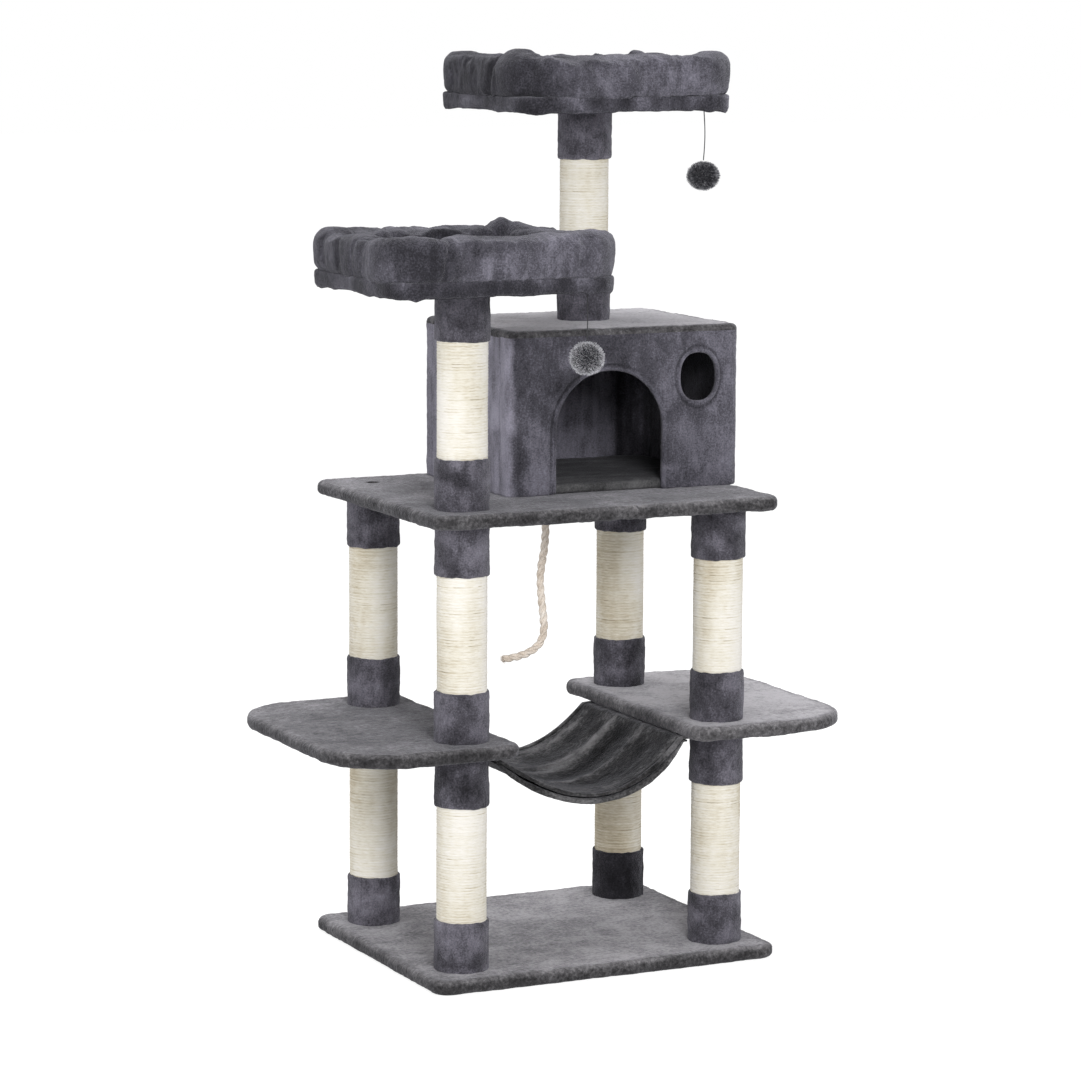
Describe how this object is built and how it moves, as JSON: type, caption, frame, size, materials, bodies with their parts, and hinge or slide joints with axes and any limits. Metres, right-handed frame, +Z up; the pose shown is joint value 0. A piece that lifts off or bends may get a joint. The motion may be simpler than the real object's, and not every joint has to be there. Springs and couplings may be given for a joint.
{
  "type": "cat tree",
  "caption": "Tall cat tree: sisal posts and plush boards carrying a house, padded perches, hammock, hanging rope and pom-pom toys.",
  "frame": {"origin": "centre of the base's underside, on the floor", "axes": "+Z up; +X along the base's long edge, to the right seen from the front; the front faces -Y"},
  "size_m": [0.906, 0.5975, 1.4473],
  "materials": {
    "plush": "short-pile plush, matt",
    "perch_plush": "short-pile plush, matt",
    "collar_plush": "short-pile plush wrapped round a cardboard tube",
    "bolster_plush": "long-pile plush, stuffed",
    "house_plush": "short-pile plush, matt",
    "house_lining": "plush, matt",
    "hammock_cloth": "plush cloth with a turned hem",
    "pompom": "fluffy pile",
    "sisal": "wound sisal twine",
    "rope": "three-strand twisted rope",
    "string": "thin cord",
    "particle_board": "raw particle board",
    "steel": "zinc-plated"
  },
  "bodies": {
    "root": {"base_board": "particle_board", "base_cover": "plush", "main_platform_board": "particle_board", "main_platform_cover": "plush", "left_platform_board": "particle_board", "left_platform_cover": "plush", "right_platform_board": "particle_board", "right_platform_cover": "plush", "lower_perch_board": "particle_board", "lower_perch_cover": "perch_plush", "upper_perch_board": "particle_board", "upper_perch_cover": "perch_plush", "lower_front_left_post_tube": "collar_plush", "lower_front_left_post_sisal": "sisal", "lower_rear_left_post_tube": "collar_plush", "lower_rear_left_post_sisal": "sisal", "lower_rear_right_post_tube": "collar_plush", "lower_rear_right_post_sisal": "sisal", "lower_front_right_post_tube": "collar_plush", "lower_front_right_post_sisal": "sisal", "middle_front_left_post_tube": "collar_plush", "middle_front_left_post_sisal": "sisal", "middle_rear_left_post_tube": "collar_plush", "middle_rear_left_post_sisal": "sisal", "middle_rear_right_post_tube": "collar_plush", "middle_rear_right_post_sisal": "sisal", "middle_front_right_post_tube": "collar_plush", "middle_front_right_post_sisal": "sisal", "upper_left_post_tube": "collar_plush", "upper_left_post_sisal": "sisal", "top_post_tube": "collar_plush", "top_post_sisal": "sisal", "base_bolt_front_left": "steel", "side_platform_stud_front_left": "steel", "base_bolt_rear_left": "steel", "side_platform_stud_rear_left": "steel", "base_bolt_rear_right": "steel", "side_platform_stud_rear_right": "steel", "base_bolt_front_right": "steel", "side_platform_stud_front_right": "steel", "main_platform_stud_front_left": "steel", "main_platform_bolt_rear_left": "steel", "main_platform_bolt_front_right": "steel", "roof_bolt": "steel", "lower_perch_bolt": "steel", "upper_perch_bolt": "steel", "house_front_wall": "house_plush", "house_back_wall": "house_plush", "house_left_wall": "house_plush", "house_right_wall": "house_plush", "house_floor": "house_lining", "house_roof": "house_plush", "lower_perch_bolster": "bolster_plush", "upper_perch_bolster": "bolster_plush", "hammock": "hammock_cloth"},
    "lower_toy_string": {"lower_perch_string": "string"},
    "lower_toy_pompom": {"lower_perch_pompom": "pompom"},
    "upper_toy_string": {"upper_perch_string": "string"},
    "upper_toy_pompom": {"upper_perch_pompom": "pompom"},
    "rope": {"hanging_rope": "rope"}
  },
  "joints": [
    {"name": "lower_toy_swing", "type": "hinge", "parent": "root", "child": "lower_toy_string", "pos_m": [-0.0765, -0.3025, 1.0909], "axis": [0, 1, 0], "range_deg": [-60, 60]},
    {"name": "lower_pompom_tip", "type": "hinge", "parent": "lower_toy_string", "child": "lower_toy_pompom", "pos_m": [-0.0765, -0.3025, 1.017], "axis": [1, 0, 0], "range_deg": [-60, 60]},
    {"name": "upper_toy_swing", "type": "hinge", "parent": "root", "child": "upper_toy_string", "pos_m": [0.254, -0.055, 1.3529], "axis": [0, 1, 0], "range_deg": [-60, 60]},
    {"name": "upper_pompom_tip", "type": "hinge", "parent": "upper_toy_string", "child": "upper_toy_pompom", "pos_m": [0.254, -0.055, 1.274], "axis": [1, 0, 0], "range_deg": [-60, 60]},
    {"name": "rope_swing", "type": "hinge", "parent": "root", "child": "rope", "pos_m": [0.002, 0, 0.7217], "axis": [0, 1, 0], "range_deg": [-60, 60]}
  ]
}
